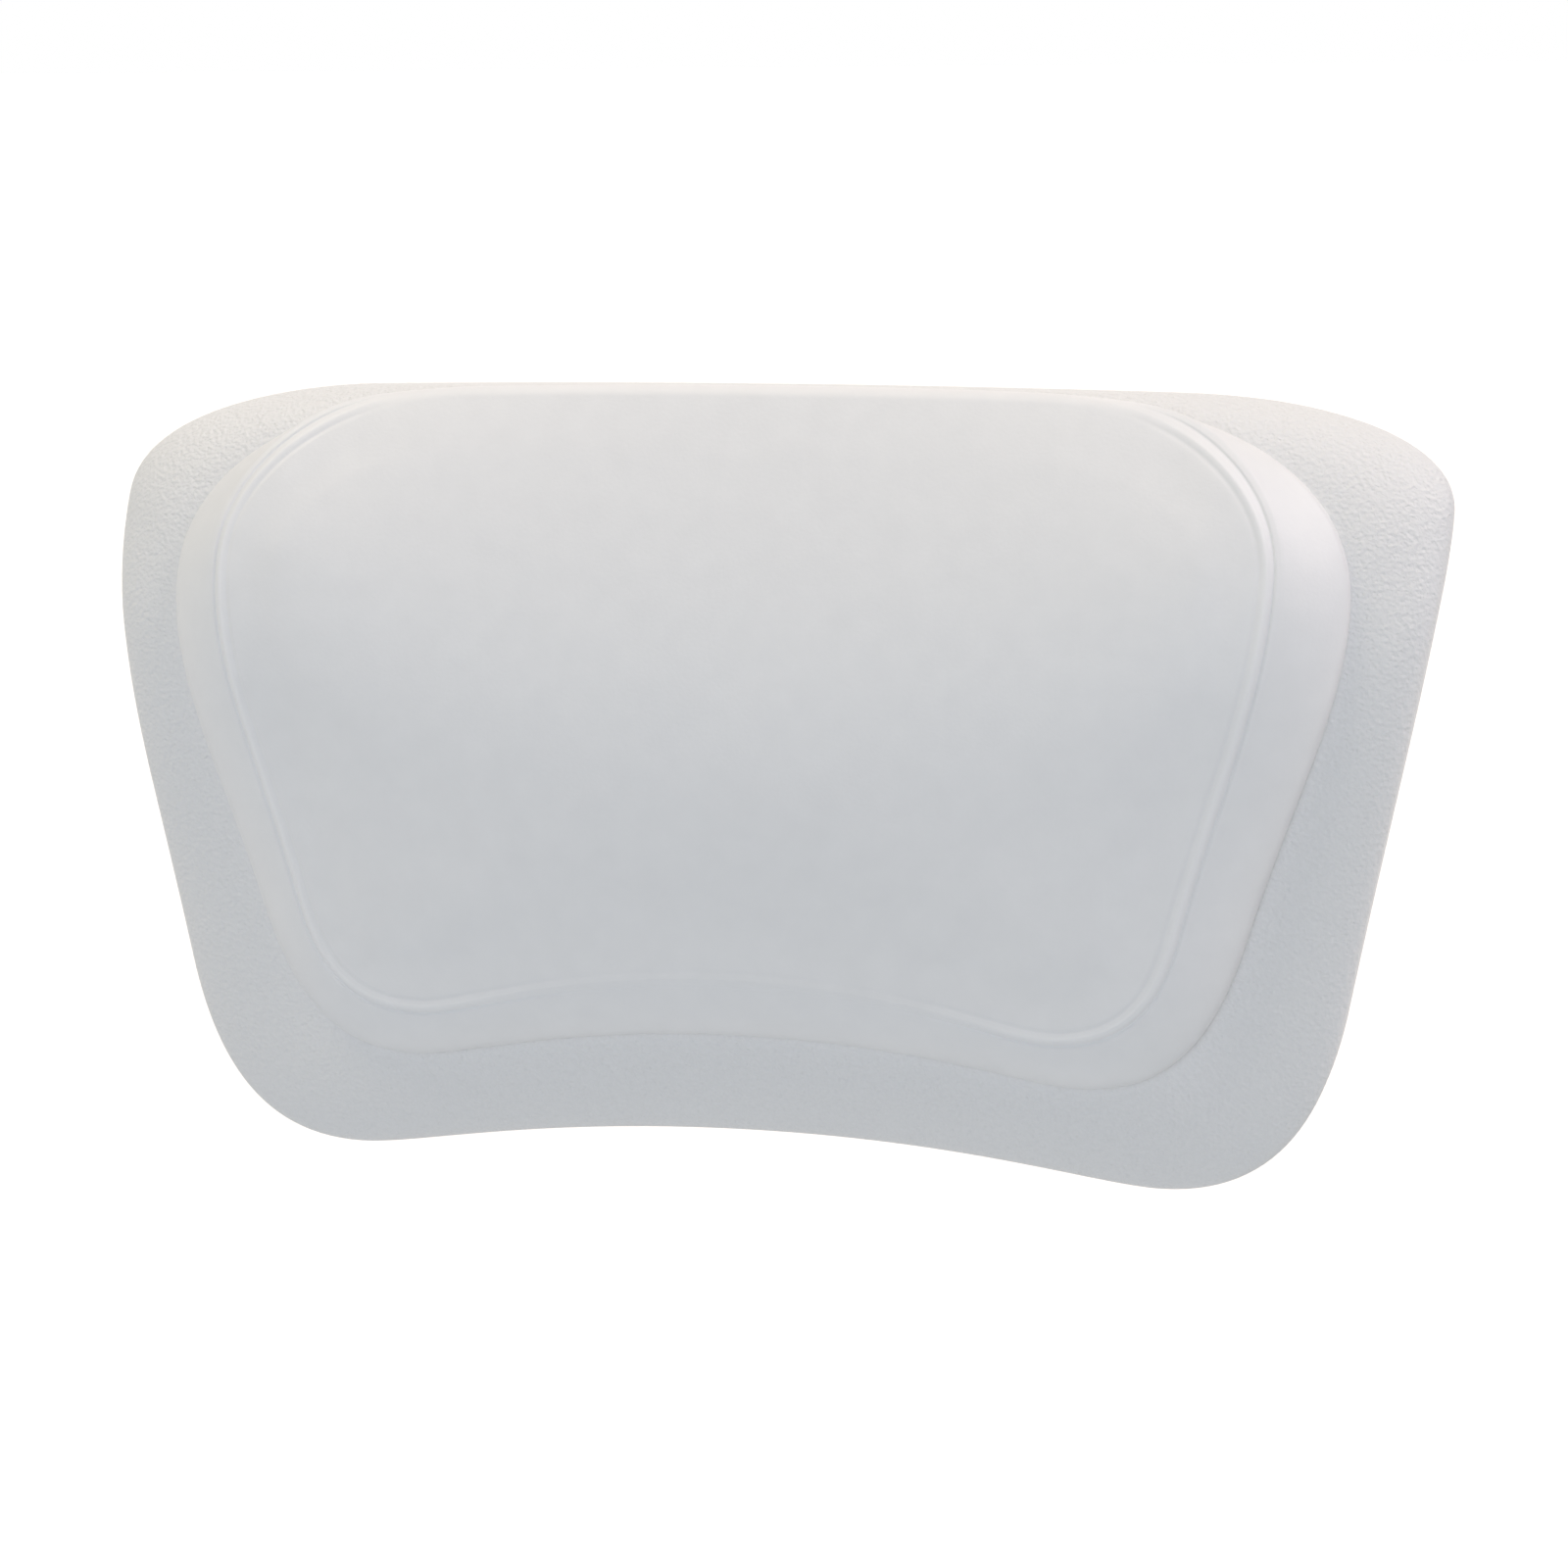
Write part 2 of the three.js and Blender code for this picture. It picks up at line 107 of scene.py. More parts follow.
ridge_line = {
    "top": top_height,
    "straight": 88 * mm,
    "side": (half_width + 0.6 * mm, 59.5 * mm),
    "shoulder": 0.2,
    "lower": (half_width - 18.8 * mm, -46.5 * mm),
    "foot": (93 * mm, foot_height),
    "arch": neck_arch,
    "fullness": 0.6,
}
pad_line = {
    "top": top_height + 0.2 * mm,
    "straight": 60 * mm,
    "side": (half_width - 18.7 * mm, 41.5 * mm),
    "shoulder": 0.3,
    "lower": (half_width - 39 * mm, -29 * mm),
    "foot": (76.3 * mm, foot_height + 23.2 * mm),
    "arch": neck_arch,
    "fullness": 0.61,
}
back_line = {
    "top": top_height - back_round,
    "straight": half_width - back_round - 42 * mm,
    "side": (half_width - back_round, top_height - back_round - 25 * mm),
    "shoulder": 0.3,
    "lower": (half_width - 18.8 * mm - back_round, -38.5 * mm),
    "foot": (84 * mm, foot_height + back_round),
    "arch": neck_arch,
    "fullness": 0.6,
}

# How strongly each stretch of an outline holds the direction of its ends
side_turn = 1.08
side_hold = 0.4
lower_hold = 0.6
foot_hold = 0.6
arch_holds = (0.85, 0.55)


def outline(line):
    """Closed ring of points on an outline, clockwise from the middle of the top as seen from the front."""
    top, straight, full = line["top"], line["straight"], line["fullness"]
    (side_x, side_z), (low_x, low_z), (foot_x, foot_z) = line["side"], line["lower"], line["foot"]
    crown_z = top + top_bow
    arch_z = foot_z + line["arch"]
    reach = full * (side_x - straight)
    droop = reach * 2 * top_bow / straight
    fall = side_z - low_z
    lean = side_turn * (side_x - low_x) / fall
    drop = lower_hold * (low_z - foot_z)
    crown, shoulder, side = (0, crown_z), (straight, top), (side_x, side_z)
    lower, foot, arch = (low_x, low_z), (foot_x, foot_z), (0, arch_z)
    off_crown = (straight / 3, crown_z)
    to_shoulder = (straight * 2 / 3, top + top_bow * 2 / 3)
    off_shoulder = (straight + reach, top - droop)
    to_side = (side_x, side_z + full * (top - side_z))
    off_side = (side_x, side_z - line["shoulder"] * fall)
    to_lower = (low_x + lean * side_hold * fall, low_z + side_hold * fall)
    off_lower = (low_x - lean * drop, low_z - drop)
    to_foot = (foot_x + foot_hold * (low_x - foot_x), foot_z)
    off_foot, to_arch = (arch_holds[0] * foot_x, foot_z), (arch_holds[1] * foot_x, arch_z)
    stretches = (
        (30, crown, off_crown, to_shoulder, shoulder),
        (34, shoulder, off_shoulder, to_side, side),
        (26, side, off_side, to_lower, lower),
        (26, lower, off_lower, to_foot, foot),
        (30, foot, off_foot, to_arch, arch),
    )
    half = []
    for steps, *knots in stretches:
        knots = [Vector((x, 0, z)) for x, z in knots]
        half += interpolate_bezier(*knots, steps + 1)[:-1]
    mirrored = [Vector((-p.x, 0, p.z)) for p in half[:0:-1]]
    return half + [Vector((0, 0, arch_z))] + mirrored


def inward(ring):
    """Direction into the ring at each of its points."""
    ways = []
    for k in range(len(ring)):
        along = (ring[(k + 1) % len(ring)] - ring[k - 1]).normalized()
        ways.append(Vector((along.z, 0, -along.x)))
    return ways


def set_in(ring, by):
    """The ring moved inwards, or outwards where by is less than nothing."""
    return [p + way * by for p, way in zip(ring, inward(ring))]


def between(ring, other, share):
    """Ring that lies part of the way from one ring to another."""
    return [p.lerp(q, share) for p, q in zip(ring, other)]


def bell(distance, place, width):
    """Soft bump of height 1 at its place."""
    return math.exp(-(((distance - place) / width) ** 2))


def smooth_step(low, high, value):
    """Soft step from 0 at low to 1 at high."""
    share = min(1, max(0, (value - low) / (high - low)))
    return share * share * (3 - 2 * share)


def leaning(z, low, at_top, start=lean_start):
    """The front leans back from its start up to its top."""
    share = max(0, (z - start) / (top_height - start))
    return low + (at_top - low) * share * share


def pad_edge_at(point):
    """Depth of the rim where it meets the pad's edge."""
    return leaning(point.z, ridge_depth, ridge_depth_at_top) + rim_rise


def in_corner(point, heights):
    """How far a point lies in an upper corner, from 0 at the lower of two heights to 1 at the upper."""
    return smooth_step(*heights, point.z) * smooth_step(*corner_sides, abs(point.x))


def ridge_at(point):
    """Depth of the rim's outer ridge, which falls back at the upper corners."""
    drop = corner_drop * in_corner(point, corner_drop_heights)
    return leaning(point.z, ridge_depth, ridge_depth_at_top) - drop


def seat_at(point, share):
    """Depth of the crowned front under the pad. A share of 1 is the pad's edge."""
    return pad_edge_at(point) + seat_crown * (1 - share * share)


def at_depth(ring, depths):
    """The ring's points, each at its own depth in front of the pillow's flat back."""
    return [Vector((p.x, -stand_off - depth, p.z)) for p, depth in zip(ring, depths)]


def grow(bm, rings):
    """Lays a circle of vertices on the first ring and extrudes it through the others."""
    layers = bm.verts.layers.int
    if "place" not in layers:
        layers.new("place")
        layers.new("step")
    place, step = layers["place"], layers["step"]
    verts = bmesh.ops.create_circle(bm, segments=len(rings[0]))["verts"]
    for number, vert in enumerate(verts):
        vert[place] = number
        vert[step] = 0
        vert.co = rings[0][number]
    edges = list({edge for vert in verts for edge in vert.link_edges})
    for number, ring in enumerate(rings[1:], 1):
        grown = bmesh.ops.extrude_edge_only(bm, edges=edges)["geom"]
        edges = [part for part in grown if isinstance(part, bmesh.types.BMEdge)]
        for vert in {end for edge in edges for end in edge.verts}:
            vert[step] = number
            vert.co = ring[vert[place]]
    return edges


def closed(bm):
    """Joins the seams and poles of a bmesh and turns its faces outwards."""
    bmesh.ops.remove_doubles(bm, verts=bm.verts, dist=weld)
    bmesh.ops.recalc_face_normals(bm, faces=bm.faces)
    return bm


def piece(name, bm, finish, crisp_degrees=50):
    """One finished object from a bmesh, smooth but for edges sharper than crisp_degrees."""
    mesh = bpy.data.meshes.new(name)
    for face in bm.faces:
        face.smooth = True
    bm.to_mesh(mesh)
    bm.free()
    mesh.set_sharp_from_angle(angle=math.radians(crisp_degrees))
    mesh.materials.append(finish)
    thing = bpy.data.objects.new(name, mesh)
    bpy.context.scene.collection.objects.link(thing)
    return thing


ridge = outline(ridge_line)
pad_edge = outline(pad_line)
back_edge = outline(back_line)
middle = Vector((0, 0, middle_height))
middle_ring = [middle] * len(ridge)
corner_shares = [in_corner(p, corner_ease_heights) for p in ridge]
channel = []
squareness = []
for p, way in zip(pad_edge, inward(pad_edge)):
    upper = smooth_step(*upper_heights, p.z)
    channel.append(channel_depth * smooth_step(*channel_facing, abs(way.x)) * (1 - upper))
    squareness.append(rim_squareness + (corner_squareness - rim_squareness) * upper)


def eased(path, reach):
    """The path with its bends eased: each point becomes the mean of the path within reach of it."""
    lengths = [0]
    for start, end in zip(path, path[1:]):
        lengths.append(lengths[-1] + (end - start).length)

    def at(length):
        k = min(bisect_right(lengths, length), len(path) - 1)
        span = lengths[k] - lengths[k - 1]
        return path[k - 1].lerp(path[k], (length - lengths[k - 1]) / span if span else 0)

    points = []
    each_side = 6
    for here in lengths:
        half = min(reach, here, lengths[-1] - here)
        near = [at(here + half * step / each_side) for step in range(-each_side, each_side + 1)]
        points.append(sum(near, Vector()) / len(near))
    return points


def softened(rings, reach, shares):
    """The rings with the bends from ring to ring eased, each column by its own share."""
    columns = []
    for path, share in zip(zip(*rings), shares):
        columns.append([p.lerp(q, share) for p, q in zip(path, eased(path, reach))])
    return list(zip(*columns))


def body_rings(under, seat_shares, rim_angles, back_angles):
    """Rings over the body from the middle of its front to the edge of its back, under its surface."""
    edge = set_in(pad_edge, under)
    wide = set_in(ridge, under)
    rear = set_in(back_edge, max(0, under - skin_wall))
    rings = []
    for share in seat_shares:
        ring = between(middle_ring, edge, share)
        rings.append(at_depth(ring, [seat_at(p, share) - under for p in ring]))
    for degrees in rim_angles:
        ring = []
        depths = []
        for k, power in enumerate(squareness):
            out = max(0, math.cos(math.radians(degrees))) ** (2 / power)
            up = math.sin(math.radians(degrees)) ** (2 / power)
            start = ridge_at(ridge[k])
            rise = pad_edge_at(pad_edge[k]) - under - start
            ring.append(edge[k].lerp(wide[k], out))
            depths.append(start + rise * up - channel[k] * bell(out, 0, channel_width))
        rings.append(at_depth(ring, depths))
    for degrees in back_angles:
        share = 1 - math.sin(math.radians(degrees))
        down = 1 - math.cos(math.radians(degrees))
        depths = [under + (ridge_at(p) - under) * down for p in ridge]
        rings.append(at_depth(between(wide, rear, share), depths))
    return softened(rings, corner_ease, corner_shares)


def bare_finish(name):
    """New material, with its nodes, its links and its shader."""
    finish = bpy.data.materials.new(name)
    finish.use_nodes = True
    tree = finish.node_tree
    return finish, tree.nodes, tree.links, tree.nodes["Principled BSDF"]


def grained_skin():
    """White moulded skin with a fine pebbled leather grain, semi-matte."""
    finish, nodes, links, shader = bare_finish("grained_skin")
    shader.inputs["Specular IOR Level"].default_value = 0.4
    where = nodes.new("ShaderNodeTexCoord")
    worms = nodes.new("ShaderNodeTexNoise")
    worms.inputs["Scale"].default_value = 1150
    worms.inputs["Detail"].default_value = 1.5
    worms.inputs["Distortion"].default_value = 0.8
    pebbles = nodes.new("ShaderNodeTexVoronoi")
    pebbles.feature = "SMOOTH_F1"
    pebbles.inputs["Scale"].default_value = 1050
    grain = nodes.new("ShaderNodeMath")
    grain.operation = "MULTIPLY_ADD"
    grain.inputs[1].default_value = 0.7
    bump = nodes.new("ShaderNodeBump")
    bump.inputs["Strength"].default_value = 1
    bump.inputs["Distance"].default_value = 0.26 * mm
    shade = nodes.new("ShaderNodeMapRange")
    shade.inputs["To Min"].default_value = 0.42
    shade.inputs["To Max"].default_value = 0.58
    tint = nodes.new("ShaderNodeMixRGB")
    tint.inputs["Color1"].default_value = (0.745, 0.747, 0.752, 1)
    tint.inputs["Color2"].default_value = (0.805, 0.803, 0.803, 1)
    links.new(where.outputs["Object"], worms.inputs["Vector"])
    links.new(where.outputs["Object"], pebbles.inputs["Vector"])
    links.new(worms.outputs["Fac"], grain.inputs[0])
    links.new(pebbles.outputs["Distance"], grain.inputs[2])
    links.new(grain.outputs["Value"], bump.inputs["Height"])
    links.new(bump.outputs["Normal"], shader.inputs["Normal"])
    links.new(worms.outputs["Fac"], shade.inputs["Value"])
    links.new(shade.outputs["Result"], shader.inputs["Roughness"])
    links.new(worms.outputs["Fac"], tint.inputs["Fac"])
    links.new(tint.outputs["Color"], shader.inputs["Base Color"])
    return finish


grained = grained_skin()
outer_rim_angles = (90, 86, 81, 75, 68, 60, 52, 44, 36, 28, 21, 14, 8, 3, 0)
outer_back_angles = (80, 70, 61, 52, 43, 34, 25, 17, 9, 4, 0)
outside = body_rings(0, (0, 0.5, 0.9), outer_rim_angles, outer_back_angles)
inside = body_rings(skin_wall, (0, 0.6), (90, 60, 30, 0), (60, 30, 10, 0))
shell = bmesh.new()
grow(shell, outside + inside[::-1])
moulded_body = piece("moulded_body", closed(shell), grained)
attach(moulded_body, "pillow")
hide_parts("body_skin")

# Tie plate
# A stiff sheet of natural polypropylene, 3 mm thick, that lies in the foam close behind the back and ties
# the four sockets together, so that a pull on one cup is spread over the whole pillow.
plate_low, plate_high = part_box("carrier_plate")
gap = 0.3 * mm
plate_margin = 10 * mm
barrel_radius = 9 * mm
round_steps = 64
cup_places = {joint["child"]: Vector(joint["pos_m"]) for joint in frame["joints"]}


def circle(place, radius, depth):
    """Ring of points round a cup's axis, in the same order as an outline."""
    turns = [2 * math.pi * k / round_steps for k in range(round_steps)]
    return [
        Vector((place.x + radius * math.sin(a), -stand_off - depth, place.z + radius * math.cos(a)))
        for a in turns
    ]


def flat_ring(ring, depth):
    return at_depth(ring, [depth] * len(ring))


def flat_face(bm, ring, depth, hole_radius):
    """Flat face inside a ring with a round hole at each cup."""
    edges = grow(bm, [flat_ring(ring, depth)])
    for place in cup_places.values():
        edges += grow(bm, [circle(place, hole_radius, depth)])
    bmesh.ops.triangle_fill(bm, use_beauty=True, edges=edges)


def satin_plastic():
    """Natural polypropylene: milky, satin, with the faint ripple of a moulded sheet."""
    finish, nodes, links, shader = bare_finish("satin_plastic")
    where = nodes.new("ShaderNodeTexCoord")
    ripple = nodes.new("ShaderNodeTexNoise")
    ripple.inputs["Scale"].default_value = 260
    ripple.inputs["Detail"].default_value = 3
    bump = nodes.new("ShaderNodeBump")
    bump.inputs["Strength"].default_value = 0.25
    bump.inputs["Distance"].default_value = 0.05 * mm
    tint = nodes.new("ShaderNodeMixRGB")
    tint.inputs["Color1"].default_value = (0.72, 0.735, 0.75, 1)
    tint.inputs["Color2"].default_value = (0.8, 0.81, 0.82, 1)
    shade = nodes.new("ShaderNodeMapRange")
    shade.inputs["To Min"].default_value = 0.3
    shade.inputs["To Max"].default_value = 0.42
    links.new(where.outputs["Object"], ripple.inputs["Vector"])
    links.new(ripple.outputs["Fac"], bump.inputs["Height"])
    links.new(bump.outputs["Normal"], shader.inputs["Normal"])
    links.new(ripple.outputs["Fac"], tint.inputs["Fac"])
    links.new(tint.outputs["Color"], shader.inputs["Base Color"])
    links.new(ripple.outputs["Fac"], shade.inputs["Value"])
    links.new(shade.outputs["Result"], shader.inputs["Roughness"])
    return finish


plastic = satin_plastic()
plate_rear = -plate_high.y - stand_off
plate_front = -plate_low.y - stand_off
plate_ring = set_in(back_edge, plate_margin)
hole_radius = barrel_radius + gap
sheet = bmesh.new()
flat_face(sheet, plate_ring, plate_rear, hole_radius)
flat_face(sheet, plate_ring, plate_front, hole_radius)
grow(sheet, [flat_ring(plate_ring, depth) for depth in (plate_rear, plate_front)])
for place in cup_places.values():
    grow(sheet, [circle(place, hole_radius, depth) for depth in (plate_rear, plate_front)])
tie_plate = piece("tie_plate", closed(sheet), plastic, crisp_degrees=30)
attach(tie_plate, "pillow")
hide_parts("carrier_plate")

# Cup sockets
# Four flanged bushes of the same polypropylene. Each is pressed through the back, snaps behind the tie
# plate with its collar, and holds the mushroom head of a suction cup in its hollow barrel.
flange_radius = 12.5 * mm
flange_rear = 3.1 * mm
flange_front = 4.7 * mm
mouth_radius = 4.6 * mm
cavity_radius = 7.1 * mm
cavity_rear = 6.1 * mm
cavity_front = 14.9 * mm
socket_front = 16.9 * mm
collar_rear = 10.6 * mm
collar_front = 13.6 * mm
collar_radius = 10.2 * mm
edge_round = 0.35 * mm


def turned(place, profile):
    """Bmesh of a profile of radius and depth turned about a cup's axis."""
    bm = bmesh.new()
    verts = [bm.verts.new((place.x + radius, -stand_off - depth, place.z)) for radius, depth in profile]
    edges = [bm.edges.new(pair) for pair in zip(verts, verts[1:])]
    bmesh.ops.spin(
        bm,
        geom=verts + edges,
        cent=place,
        axis=(0, 1, 0),
        angle=2 * math.pi,
        steps=round_steps,
        use_merge=True,
    )
    return closed(bm)


for body, place in cup_places.items():
    where = body.removeprefix("cup_")
    bush = turned(place, [
        (0, cavity_front),
        (cavity_radius, cavity_front),
        (cavity_radius, cavity_rear),
        (mouth_radius, cavity_rear),
        (mouth_radius, flange_rear + edge_round),
        (mouth_radius + edge_round, flange_rear),
        (flange_radius - edge_round, flange_rear),
        (flange_radius, flange_rear + edge_round),
        (flange_radius, flange_front),
        (barrel_radius, flange_front),
        (barrel_radius, collar_rear),
        (collar_radius - edge_round, collar_rear),
        (collar_radius, collar_rear + edge_round),
        (barrel_radius, collar_front),
        (barrel_radius, socket_front - edge_round),
        (barrel_radius - edge_round, socket_front),
        (0, socket_front),
    ])
    socket = piece("cup_socket_" + where, bush, plastic, crisp_degrees=30)
    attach(socket, "pillow")
    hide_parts("socket_" + where)

# Body foam
# Cream polyurethane foam that fills the shell. It is cast round the tie plate, so it has a pocket for the
# plate, a well for each socket and a cone behind each dish of the back.
dish_radius = 28 * mm
dish_floor_radius = 15.5 * mm
dish_depth = 5 * mm


def open_cell_foam(name, pale, deep):
    """Matte foam with cells of about a millimetre."""
    finish, nodes, links, shader = bare_finish(name)
    shader.inputs["Roughness"].default_value = 0.95
    shader.inputs["Specular IOR Level"].default_value = 0.2
    where = nodes.new("ShaderNodeTexCoord")
    cells = nodes.new("ShaderNodeTexVoronoi")
    cells.inputs["Scale"].default_value = 900
    bump = nodes.new("ShaderNodeBump")
    bump.inputs["Strength"].default_value = 0.8
    bump.inputs["Distance"].default_value = 0.4 * mm
    tint = nodes.new("ShaderNodeMixRGB")
    tint.inputs["Color1"].default_value = (*deep, 1)
    tint.inputs["Color2"].default_value = (*pale, 1)
    links.new(where.outputs["Object"], cells.inputs["Vector"])
    links.new(cells.outputs["Distance"], bump.inputs["Height"])
    links.new(bump.outputs["Normal"], shader.inputs["Normal"])
    links.new(cells.outputs["Distance"], tint.inputs["Fac"])
    links.new(tint.outputs["Color"], shader.inputs["Base Color"])
    return finish


foam_under = skin_wall + gap
pocket_rear = plate_rear - gap
pocket_front = plate_front + gap
pocket_ring = set_in(back_edge, plate_margin - gap)
cone_slope = (dish_radius - dish_floor_radius) / dish_depth
cone_radius = dish_radius - (pocket_rear - foam_under) * cone_slope
well_radius = collar_radius + gap
well_front = socket_front + gap

foam_mass = bmesh.new()
foam_rings = body_rings(foam_under, (0, 0.5, 0.8), (90, 70, 50, 30, 12, 0), (70, 50, 30, 15, 0))
grow(foam_mass, foam_rings)
flat_face(foam_mass, set_in(back_edge, foam_under - skin_wall), foam_under, dish_radius)
flat_face(foam_mass, pocket_ring, pocket_rear, cone_radius)
flat_face(foam_mass, pocket_ring, pocket_front, well_radius)
grow(foam_mass, [flat_ring(pocket_ring, depth) for depth in (pocket_rear, pocket_front)])
for place in cup_places.values():
    grow(foam_mass, [circle(place, dish_radius, foam_under), circle(place, cone_radius, pocket_rear)])
    grow(foam_mass, [
        circle(place, well_radius, pocket_front),
        circle(place, well_radius, well_front),
        circle(place, 0, well_front),
    ])
foam = open_cell_foam("foam", pale=(0.86, 0.82, 0.7), deep=(0.7, 0.65, 0.52))
body_core = piece("body_core", closed(foam_mass), foam)
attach(body_core, "pillow")
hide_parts("body_foam")

# Back panel
# The flat rear skin that closes the body, of the same grained polyurethane. A shallow dish is moulded
# into it behind each cup, with a hole for the cup's socket in its floor.
dish_rim = ((28.9, 0), (28.7, 0.01), (28.3, 0.06), (27.9, 0.19), (27.4, 0.4), (26.8, 0.65))
dish_side = ((22, 2.55), (16.9, 4.55))
dish_floor = ((16.3, 4.78), (15.7, 4.93), (15, 4.99), (14.4, 5), (9.45, 5), (9.3, 5.15))
dish_section = dish_rim + dish_side + dish_floor
panel_sheet = bmesh.new()
flat_face(panel_sheet, set_in(back_edge, gap), 0, dish_section[0][0] * mm)
for place in cup_places.values():
    grow(panel_sheet, [circle(place, radius * mm, depth * mm) for radius, depth in dish_section])
bmesh.ops.remove_doubles(panel_sheet, verts=panel_sheet.verts, dist=weld)
bmesh.ops.recalc_face_normals(panel_sheet, faces=panel_sheet.faces)
rear_face = max(panel_sheet.faces, key=lambda face: face.calc_area())
if rear_face.normal.y < 0:
    bmesh.ops.reverse_faces(panel_sheet, faces=panel_sheet.faces)
back_panel = piece("back_panel", panel_sheet, grained)
wall = back_panel.modifiers.new("wall", "SOLIDIFY")
wall.thickness = skin_wall
wall.offset = -1
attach(back_panel, "pillow")
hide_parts("back_skin")

# Pad foam
# A softer and paler foam that gives the head pad its crown. It lies on the body's front, and the pad's
# skin is cast over it.
pad_wall = 1.5 * mm
seat_gap = 2 * gap
band_rise = 11.6 * mm
band_rise_at_top = 9.8 * mm
panel_crown = 5 * mm
middle_lean = -8 * mm
side_lean = 24 * mm
side_reach = 105 * mm
top_ease = 2.5 * mm
top_heights = (45 * mm, 66 * mm)
top_sides = (70 * mm, 104 * mm)
band_slope = 0.36
band_bend = 0.32
band_edge_bend = 0.13
band_step = 0.19
band_hollow = 0.9
band_hollow_heights = (42 * mm, 68 * mm)
crease_line = {
    "top": top_height + 0.9 * mm,
    "straight": 66 * mm,
    "side": (half_width - 34.4 * mm, 47.8 * mm),
    "shoulder": 0.3,
    "lower": (half_width - 53.6 * mm, -29 * mm),
    "foot": (71.8 * mm, foot_height + 36.2 * mm),
    "arch": neck_arch + 1.7 * mm,
    "fullness": 0.56,
}
crease = outline(crease_line)


def crease_at(point):
    """Depth of the pad's front at its crease. At its sides it starts to lean back higher up."""
    side = min(1, (point.x / side_reach) ** 2)
    start = lean_start + middle_lean + (side_lean - middle_lean) * side
    low = ridge_depth + rim_rise + band_rise
    at_top = ridge_depth_at_top + rim_rise + band_rise_at_top
    return leaning(point.z, low, at_top, start)


crown_reach = 75 * mm
panel_rim = 15 * mm
oval_width = 102 * mm
oval_height = 46 * mm
inner_ring = set_in(crease, panel_rim)


def panel_ring(share):
    """Ring on the panel: 1 is the crease. The border keeps its outline and the middle turns oval."""
    rim_share = 1 - panel_rim / crown_reach
    if share >= rim_share:
        return set_in(crease, (1 - share) * crown_reach)
    part = share / rim_share
    ring = []
    for p in inner_ring:
        way = p - middle
        oval = 1 / math.hypot(way.x / oval_width, way.z / oval_height)
        ring.append(middle + way * part * (oval * (1 - part * part) + part * part))
    return ring


def panel_at(point, share):
    """Depth of the crowned panel, which is fullest in its middle."""
    return crease_at(point) + panel_crown * (1 - share * share)


def band_height(share, number):
    """Height of the band over the pad's edge, as a share of its rise, on the way out from the crease."""
    convex = 1 - band_slope * share - band_bend * share ** 2 - band_edge_bend * share ** 6
    hollow = band_step + (1 - band_step) * (1 - min(1, share)) ** 1.5
    upper = smooth_step(*band_hollow_heights, crease[number].z)
    return convex + (hollow - convex) * band_hollow * upper


def over_top(point):
    """How far a point of the crease lies on the stretch that rolls over the top, from 0 to 1."""
    return smooth_step(*top_heights, point.z) * (1 - smooth_step(*top_sides, abs(point.x)))


def rolled(rings):
    """The rings with the pad's bend over the top eased."""
    return softened(rings, top_ease, [over_top(p) for p in crease])


def pad_under_rings(under):
    """Plain rings under the pad's surface, from the middle of its panel to its edge."""
    line = set_in(crease, under)
    edge = set_in(pad_edge, under)
    rings = []
    for share in (0, 0.25, 0.5, 0.7, 0.85, 1):
        ring = set_in(panel_ring(share), under * share)
        rings.append(at_depth(ring, [panel_at(p, share) - under for p in ring]))
    for share in (0.25, 0.5, 0.75, 0.92, 0.985):
        depths = []
        for k, (low, high) in enumerate(zip(pad_edge, crease)):
            start = pad_edge_at(low)
            depths.append(start + (crease_at(high) - start - under) * band_height(share, k))
        rings.append(at_depth(between(line, edge, share), depths))
    rings.append(at_depth(edge, [seat_at(p, 1) + seat_gap for p in edge]))
    return rolled(rings)


pad_mass = bmesh.new()
seat_rings = []
for share in (0.8, 0.4, 0):
    ring = between(middle_ring, pad_edge, share)
    seat_rings.append(at_depth(ring, [seat_at(p, share) + seat_gap for p in ring]))
grow(pad_mass, pad_under_rings(pad_wall + gap) + seat_rings)
soft_foam = open_cell_foam("soft_foam", pale=(0.9, 0.87, 0.79), deep=(0.78, 0.74, 0.64))
pad_core = piece("pad_core", closed(pad_mass), soft_foam)
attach(pad_core, "pillow")
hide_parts("pad_foam")

# Head pad
# The smooth satin skin that the head rests on. A fine bead between two grooves runs round its crowned
# panel, and a band falls from there to the rim, which it is welded to.
valley_depth = 0.5 * mm
valley_place = 9 * mm
valley_width = 6 * mm
bead_height = 0.15 * mm
bead_width = 0.62 * mm
inner_groove_depth = 0.22 * mm
inner_groove_place = 1.6 * mm
inner_groove_width = 0.5 * mm
outer_groove_depth = 0.5 * mm
outer_groove_place = -1.4 * mm
outer_groove_width = 0.42 * mm
neck_crispness = 0.25
neck_sides = (30 * mm, 72 * mm)
wave_height = 0.12 * mm
wave_length = 38 * mm
wave_squash = 1.4
weld_gap = 0.05 * mm


def crispness(point):
    """The bead and grooves are sharp at the sides, faint along the neck and gone over the top."""
    along_neck = neck_crispness + (1 - neck_crispness) * smooth_step(*neck_sides, abs(point.x))
    return along_neck if point.z < 0 else 1 - over_top(point)


def relief(distance, crisp):
    """Height of the moulded lines at a distance inside the crease."""
    lines = bead_height * bell(distance, 0, bead_width)
    lines -= inner_groove_depth * bell(distance, inner_groove_place, inner_groove_width)
    lines -= outer_groove_depth * bell(distance, outer_groove_place, outer_groove_width)
    return crisp * (lines - valley_depth * bell(distance, valley_place, valley_width))


def ripple(point):
    """The slight unevenness of a soft moulding."""
    return wave_height * noise.noise(Vector((point.x, 0, point.z * wave_squash)) / wave_length)


